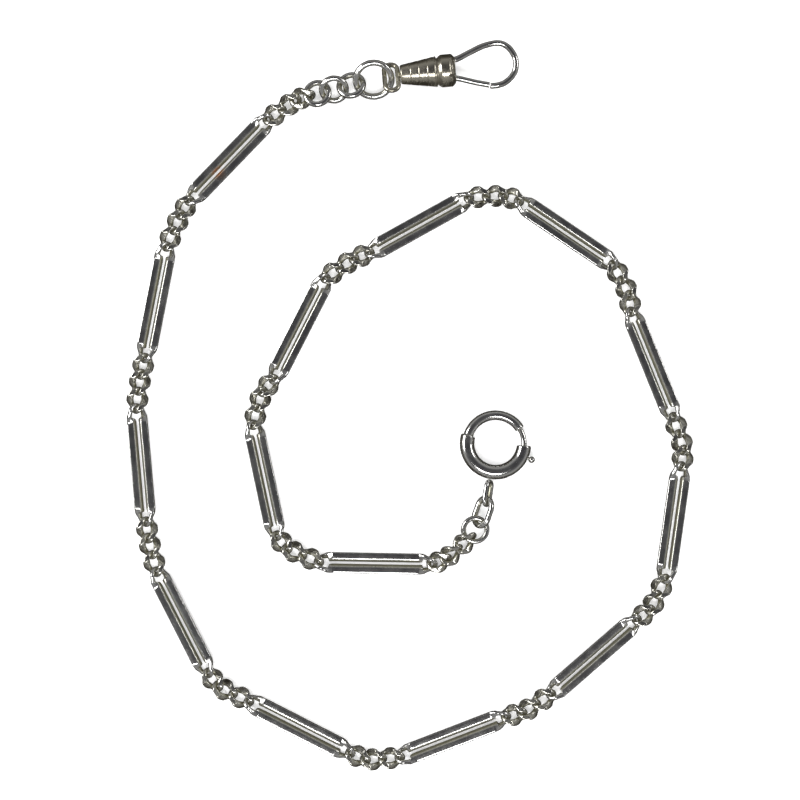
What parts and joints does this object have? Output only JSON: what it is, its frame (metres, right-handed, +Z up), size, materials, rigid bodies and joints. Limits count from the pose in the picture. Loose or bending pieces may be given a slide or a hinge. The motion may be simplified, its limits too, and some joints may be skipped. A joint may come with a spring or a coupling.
{
  "type": "pocket watch chain",
  "caption": "Pocket watch chain of slotted bar links and twisted curb links, with a swivel dog clip at one end and a sprung bolt ring at the other.",
  "frame": {"origin": "middle of the surface that the chain lies on, under the middle of its outline", "axes": "+Z up from that surface, +Y along the longer side of the spiral, towards the dog clip's end"},
  "size_m": [0.0856, 0.11, 0.005],
  "materials": {
    "bar_silver": "polished antique silver, fine scratches",
    "curb_silver": "worn antique silver, dark in the recesses",
    "ring_silver": "worn polished silver",
    "clip_nickel": "turned nickel silver, warm and dull",
    "hook_silver": "polished spring wire",
    "bolt_silver": "polished silver tube",
    "spring_steel": "plain spring wire"
  },
  "bodies": {
    "swivel_eye": {"swivel_eye": "clip_nickel"},
    "dog_clip": {"clip_barrel": "clip_nickel", "clip_hook": "hook_silver", "gate_pin": "clip_nickel", "gate_spring": "spring_steel"},
    "clip_gate": {"clip_gate": "hook_silver"},
    "large_jump_ring": {"large_jump_ring": "ring_silver"},
    "jump_ring_1": {"jump_ring_1": "ring_silver"},
    "jump_ring_2": {"jump_ring_2": "ring_silver"},
    "jump_ring_3": {"jump_ring_3": "ring_silver"},
    "curb_link_00": {"curb_link_00": "curb_silver"},
    "curb_pair_00": {"curb_pair_00": "curb_silver"},
    "bar_link_01": {"bar_link_01": "bar_silver"},
    "curb_link_01": {"curb_link_01": "curb_silver"},
    "curb_pair_01": {"curb_pair_01": "curb_silver"},
    "bar_link_02": {"bar_link_02": "bar_silver"},
    "curb_link_02": {"curb_link_02": "curb_silver"},
    "curb_pair_02": {"curb_pair_02": "curb_silver"},
    "bar_link_03": {"bar_link_03": "bar_silver"},
    "curb_link_03": {"curb_link_03": "curb_silver"},
    "curb_pair_03": {"curb_pair_03": "curb_silver"},
    "bar_link_04": {"bar_link_04": "bar_silver"},
    "curb_link_04": {"curb_link_04": "curb_silver"},
    "curb_pair_04": {"curb_pair_04": "curb_silver"},
    "bar_link_05": {"bar_link_05": "bar_silver"},
    "curb_link_05": {"curb_link_05": "curb_silver"},
    "curb_pair_05": {"curb_pair_05": "curb_silver"},
    "bar_link_06": {"bar_link_06": "bar_silver"},
    "curb_link_06": {"curb_link_06": "curb_silver"},
    "curb_pair_06": {"curb_pair_06": "curb_silver"},
    "bar_link_07": {"bar_link_07": "bar_silver"},
    "curb_link_07": {"curb_link_07": "curb_silver"},
    "curb_pair_07": {"curb_pair_07": "curb_silver"},
    "bar_link_08": {"bar_link_08": "bar_silver"},
    "curb_link_08": {"curb_link_08": "curb_silver"},
    "curb_pair_08": {"curb_pair_08": "curb_silver"},
    "bar_link_09": {"bar_link_09": "bar_silver"},
    "curb_link_09": {"curb_link_09": "curb_silver"},
    "curb_pair_09": {"curb_pair_09": "curb_silver"},
    "bar_link_10": {"bar_link_10": "bar_silver"},
    "curb_link_10": {"curb_link_10": "curb_silver"},
    "curb_pair_10": {"curb_pair_10": "curb_silver"},
    "bar_link_11": {"bar_link_11": "bar_silver"},
    "curb_link_11": {"curb_link_11": "curb_silver"},
    "curb_pair_11": {"curb_pair_11": "curb_silver"},
    "bar_link_12": {"bar_link_12": "bar_silver"},
    "curb_link_12": {"curb_link_12": "curb_silver"},
    "curb_pair_12": {"curb_pair_12": "curb_silver"},
    "bar_link_13": {"bar_link_13": "bar_silver"},
    "curb_link_13": {"curb_link_13": "curb_silver"},
    "curb_pair_13": {"curb_pair_13": "curb_silver"},
    "bar_link_14": {"bar_link_14": "bar_silver"},
    "curb_link_14": {"curb_link_14": "curb_silver"},
    "curb_pair_14": {"curb_pair_14": "curb_silver"},
    "round_ring": {"round_ring": "ring_silver"},
    "oval_ring": {"oval_ring": "ring_silver"},
    "bolt_ring": {"bolt_ring_tube": "bolt_silver", "bolt_ring_eye": "ring_silver", "bolt_spring": "spring_steel"},
    "bolt": {"bolt_and_knob": "bolt_silver"}
  },
  "joints": [
    {"name": "swivel_eye_fold", "type": "hinge", "parent": "large_jump_ring", "child": "swivel_eye", "pos_m": [-0.00339, 0.04959, 0.00259], "axis": [0.1736, -0.9848, 0], "range_deg": [-30, 30]},
    {"name": "large_jump_ring_swing", "type": "hinge", "parent": "jump_ring_1", "child": "large_jump_ring", "pos_m": [-0.00753, 0.04848, 0.00223], "axis": [0, 0, 1], "range_deg": [-25, 25]},
    {"name": "jump_ring_1_fold", "type": "hinge", "parent": "jump_ring_2", "child": "jump_ring_1", "pos_m": [-0.01016, 0.04797, 0.00201], "axis": [0.2164, -0.9763, 0], "range_deg": [-30, 30]},
    {"name": "jump_ring_2_swing", "type": "hinge", "parent": "jump_ring_3", "child": "jump_ring_2", "pos_m": [-0.01275, 0.04733, 0.00179], "axis": [0, 0, 1], "range_deg": [-20, 20]},
    {"name": "jump_ring_3_fold", "type": "hinge", "parent": "curb_link_00", "child": "jump_ring_3", "pos_m": [-0.01516, 0.04681, 0.00158], "axis": [0.2672, -0.9636, 0], "range_deg": [-30, 30]},
    {"name": "curb_link_00_swing", "type": "hinge", "parent": "curb_pair_00", "child": "curb_link_00", "pos_m": [-0.01726, 0.04609, 0.0014], "axis": [0, 0, -1], "range_deg": [-20, 15]},
    {"name": "curb_pair_00_fold", "type": "hinge", "parent": "bar_link_01", "child": "curb_pair_00", "pos_m": [-0.02135, 0.04334, 0.00099], "axis": [0.6428, -0.766, 0], "range_deg": [-30, 30]},
    {"name": "bar_link_01_fold", "type": "hinge", "parent": "curb_link_01", "child": "bar_link_01", "pos_m": [-0.03332, 0.03093, 0.00099], "axis": [0.788, -0.6157, 0], "range_deg": [-30, 30]},
    {"name": "curb_link_01_swing", "type": "hinge", "parent": "curb_pair_01", "child": "curb_link_01", "pos_m": [-0.03463, 0.02885, 0.00099], "axis": [0, 0, 1], "range_deg": [-12, 15]},
    {"name": "curb_pair_01_fold", "type": "hinge", "parent": "bar_link_02", "child": "curb_pair_01", "pos_m": [-0.03674, 0.02411, 0.00099], "axis": [-0.9537, 0.3007, 0], "range_deg": [-30, 30]},
    {"name": "bar_link_02_fold", "type": "hinge", "parent": "curb_link_02", "child": "bar_link_02", "pos_m": [-0.04003, 0.00718, 0.00099], "axis": [-0.9763, 0.2164, 0], "range_deg": [-30, 30]},
    {"name": "curb_link_02_swing", "type": "hinge", "parent": "curb_pair_02", "child": "curb_link_02", "pos_m": [-0.04062, 0.0048, 0.00099], "axis": [0, 0, -1], "range_deg": [-15, 12]},
    {"name": "curb_pair_02_fold", "type": "hinge", "parent": "bar_link_03", "child": "curb_pair_02", "pos_m": [-0.04134, -0.00034, 0.00099], "axis": [0.9997, -0.0262, 0], "range_deg": [-30, 30]},
    {"name": "bar_link_03_fold", "type": "hinge", "parent": "curb_link_03", "child": "bar_link_03", "pos_m": [-0.03984, -0.01752, 0.00099], "axis": [0.9945, 0.1045, 0], "range_deg": [-30, 30]},
    {"name": "curb_link_03_swing", "type": "hinge", "parent": "curb_pair_03", "child": "curb_link_03", "pos_m": [-0.03954, -0.01996, 0.00099], "axis": [0, 0, 1], "range_deg": [-12, 15]},
    {"name": "curb_pair_03_fold", "type": "hinge", "parent": "bar_link_04", "child": "curb_pair_03", "pos_m": [-0.03829, -0.02499, 0.00099], "axis": [-0.9367, -0.3502, 0], "range_deg": [-30, 30]},
    {"name": "bar_link_04_fold", "type": "hinge", "parent": "curb_link_04", "child": "bar_link_04", "pos_m": [-0.03046, -0.04036, 0.00099], "axis": [-0.8526, -0.5225, 0], "range_deg": [-30, 30]},
    {"name": "curb_link_04_swing", "type": "hinge", "parent": "curb_pair_04", "child": "curb_link_04", "pos_m": [-0.02901, -0.04235, 0.00099], "axis": [0, 0, -1], "range_deg": [-15, 12]},
    {"name": "curb_pair_04_fold", "type": "hinge", "parent": "bar_link_05", "child": "curb_pair_04", "pos_m": [-0.02435, -0.04462, 0.00099], "axis": [0.4462, 0.8949, 0], "range_deg": [-30, 30]},
    {"name": "bar_link_05_fold", "type": "hinge", "parent": "curb_link_05", "child": "bar_link_05", "pos_m": [-0.00899, -0.05245, 0.00099], "axis": [0.4305, 0.9026, 0], "range_deg": [-30, 30]},
    {"name": "curb_link_05_swing", "type": "hinge", "parent": "curb_pair_05", "child": "curb_link_05", "pos_m": [-0.00674, -0.05345, 0.00099], "axis": [0, 0, 1], "range_deg": [-12, 15]},
    {"name": "curb_pair_05_fold", "type": "hinge", "parent": "bar_link_06", "child": "curb_pair_05", "pos_m": [-0.00156, -0.05309, 0.00099], "axis": [0.2164, -0.9763, 0], "range_deg": [-30, 30]},
    {"name": "bar_link_06_fold", "type": "hinge", "parent": "curb_link_06", "child": "bar_link_06", "pos_m": [0.01453, -0.04691, 0.00099], "axis": [0.284, -0.9588, 0], "range_deg": [-30, 30]},
    {"name": "curb_link_06_swing", "type": "hinge", "parent": "curb_pair_06", "child": "curb_link_06", "pos_m": [0.01694, -0.0464, 0.00099], "axis": [0, 0, -1], "range_deg": [-15, 12]},
    {"name": "curb_pair_06_fold", "type": "hinge", "parent": "bar_link_07", "child": "curb_pair_06", "pos_m": [0.02129, -0.04357, 0.00099], "axis": [-0.6018, 0.7986, 0], "range_deg": [-30, 30]},
    {"name": "curb_link_07_fold", "type": "hinge", "parent": "bar_link_07", "child": "curb_link_07", "pos_m": [0.0343, -0.03226, 0.00099], "axis": [-0.6225, 0.7826, 0], "range_deg": [-30, 30]},
    {"name": "curb_pair_07_swing", "type": "hinge", "parent": "curb_link_07", "child": "curb_pair_07", "pos_m": [0.03629, -0.03081, 0.00099], "axis": [0, 0, 1], "range_deg": [-15, 10]},
    {"name": "bar_link_08_fold", "type": "hinge", "parent": "curb_pair_07", "child": "bar_link_08", "pos_m": [0.03857, -0.02615, 0.00099], "axis": [0.9563, -0.2924, 0], "range_deg": [-30, 30]},
    {"name": "curb_link_08_fold", "type": "hinge", "parent": "bar_link_08", "child": "curb_link_08", "pos_m": [0.04097, -0.00908, 0.00099], "axis": [0.9877, -0.1564, 0], "range_deg": [-30, 30]},
    {"name": "curb_pair_08_swing", "type": "hinge", "parent": "curb_link_08", "child": "curb_pair_08", "pos_m": [0.04139, -0.00665, 0.00099], "axis": [0, 0, -1], "range_deg": [-10, 15]},
    {"name": "bar_link_09_fold", "type": "hinge", "parent": "curb_pair_08", "child": "bar_link_09", "pos_m": [0.03979, -0.00172, 0.00099], "axis": [-0.9397, -0.342, 0], "range_deg": [-30, 30]},
    {"name": "curb_link_09_fold", "type": "hinge", "parent": "bar_link_09", "child": "curb_link_09", "pos_m": [0.03333, 0.01427, 0.00099], "axis": [-0.9744, -0.225, 0], "range_deg": [-30, 30]},
    {"name": "curb_pair_09_swing", "type": "hinge", "parent": "curb_link_09", "child": "curb_pair_09", "pos_m": [0.03316, 0.01672, 0.00099], "axis": [0, 0, 1], "range_deg": [-15, 10]},
    {"name": "bar_link_10_fold", "type": "hinge", "parent": "curb_pair_09", "child": "bar_link_10", "pos_m": [0.03072, 0.0213, 0.00099], "axis": [0.7431, 0.6691, 0], "range_deg": [-30, 30]},
    {"name": "curb_link_10_fold", "type": "hinge", "parent": "bar_link_10", "child": "curb_link_10", "pos_m": [0.01643, 0.03094, 0.00099], "axis": [0.454, 0.891, 0], "range_deg": [-30, 30]},
    {"name": "curb_pair_10_swing", "type": "hinge", "parent": "curb_link_10", "child": "curb_pair_10", "pos_m": [0.01412, 0.03178, 0.00099], "axis": [0, 0, -1], "range_deg": [-10, 15]},
    {"name": "bar_link_11_fold", "type": "hinge", "parent": "curb_pair_10", "child": "bar_link_11", "pos_m": [0.00894, 0.03142, 0.00099], "axis": [0.284, -0.9588, 0], "range_deg": [-30, 30]},
    {"name": "curb_link_11_fold", "type": "hinge", "parent": "bar_link_11", "child": "curb_link_11", "pos_m": [-0.00614, 0.02306, 0.00099], "axis": [0.4147, -0.91, 0], "range_deg": [-30, 30]},
    {"name": "curb_pair_11_swing", "type": "hinge", "parent": "curb_link_11", "child": "curb_pair_11", "pos_m": [-0.00845, 0.02222, 0.00099], "axis": [0, 0, 1], "range_deg": [-15, 10]},
    {"name": "bar_link_12_fold", "type": "hinge", "parent": "curb_pair_11", "child": "bar_link_12", "pos_m": [-0.01275, 0.01932, 0.00099], "axis": [-0.749, 0.6626, 0], "range_deg": [-30, 30]},
    {"name": "curb_link_12_fold", "type": "hinge", "parent": "bar_link_12", "child": "curb_link_12", "pos_m": [-0.02058, 0.00396, 0.00099], "axis": [-0.8141, 0.5807, 0], "range_deg": [-30, 30]},
    {"name": "curb_pair_12_swing", "type": "hinge", "parent": "curb_link_12", "child": "curb_pair_12", "pos_m": [-0.02229, 0.00219, 0.00099], "axis": [0, 0, -1], "range_deg": [-10, 15]},
    {"name": "bar_link_13_fold", "type": "hinge", "parent": "curb_pair_12", "child": "bar_link_13", "pos_m": [-0.02372, -0.0028, 0.00099], "axis": [0.9994, -0.0349, 0], "range_deg": [-30, 30]},
    {"name": "curb_link_13_fold", "type": "hinge", "parent": "bar_link_13", "child": "curb_link_13", "pos_m": [-0.02013, -0.01966, 0.00099], "axis": [0.9026, 0.4305, 0], "range_deg": [-30, 30]},
    {"name": "curb_pair_13_swing", "type": "hinge", "parent": "curb_link_13", "child": "curb_pair_13", "pos_m": [-0.01858, -0.02157, 0.00099], "axis": [0, 0, 1], "range_deg": [-15, 10]},
    {"name": "bar_link_14_fold", "type": "hinge", "parent": "curb_pair_13", "child": "bar_link_14", "pos_m": [-0.01381, -0.0236, 0.00099], "axis": [-0.2079, -0.9781, 0], "range_deg": [-25, 25]},
    {"name": "curb_link_14_fold", "type": "hinge", "parent": "bar_link_14", "child": "curb_link_14", "pos_m": [0.00343, -0.0239, 0.00099], "axis": [0.1908, -0.9816, 0], "range_deg": [-25, 25]},
    {"name": "curb_pair_14_swing", "type": "hinge", "parent": "curb_link_14", "child": "curb_pair_14", "pos_m": [0.00547, -0.02304, 0.00114], "axis": [0, 0, -1], "range_deg": [-6, 15]},
    {"name": "round_ring_swing", "type": "hinge", "parent": "curb_pair_14", "child": "round_ring", "pos_m": [0.0092, -0.0198, 0.00149], "axis": [0, 0, 1], "range_deg": [-25, 4]},
    {"name": "oval_ring_fold", "type": "hinge", "parent": "round_ring", "child": "oval_ring", "pos_m": [0.01046, -0.01751, 0.00167], "axis": [-0.9135, 0.4067, 0], "range_deg": [-30, 20]},
    {"name": "bolt_ring_swing", "type": "hinge", "parent": "oval_ring", "child": "bolt_ring", "pos_m": [0.01153, -0.01442, 0.0019], "axis": [0, 0, 1], "range_deg": [-25, 8]},
    {"name": "dog_clip_swivel", "type": "hinge", "parent": "swivel_eye", "child": "dog_clip", "pos_m": [-0.00044, 0.04985, 0.00259], "axis": [0.9962, 0.0872, 0], "continuous": true},
    {"name": "clip_gate_hinge", "type": "hinge", "parent": "dog_clip", "child": "clip_gate", "pos_m": [0.00614, 0.04927, 0.00259], "axis": [0, 0, 1], "range_deg": [0, 20], "stiffness_Nm_per_rad": 0.0002, "springref_deg": -17.19},
    {"name": "bolt_slide_round", "type": "hinge", "parent": "bolt_ring", "child": "bolt", "pos_m": [0.01291, -0.00569, 0.00131], "axis": [-0.0104, -0.0654, -0.9978], "range_deg": [0, 38], "stiffness_Nm_per_rad": 0.0002, "springref_deg": -17.19, "deforming": ["bolt_spring"]}
  ]
}
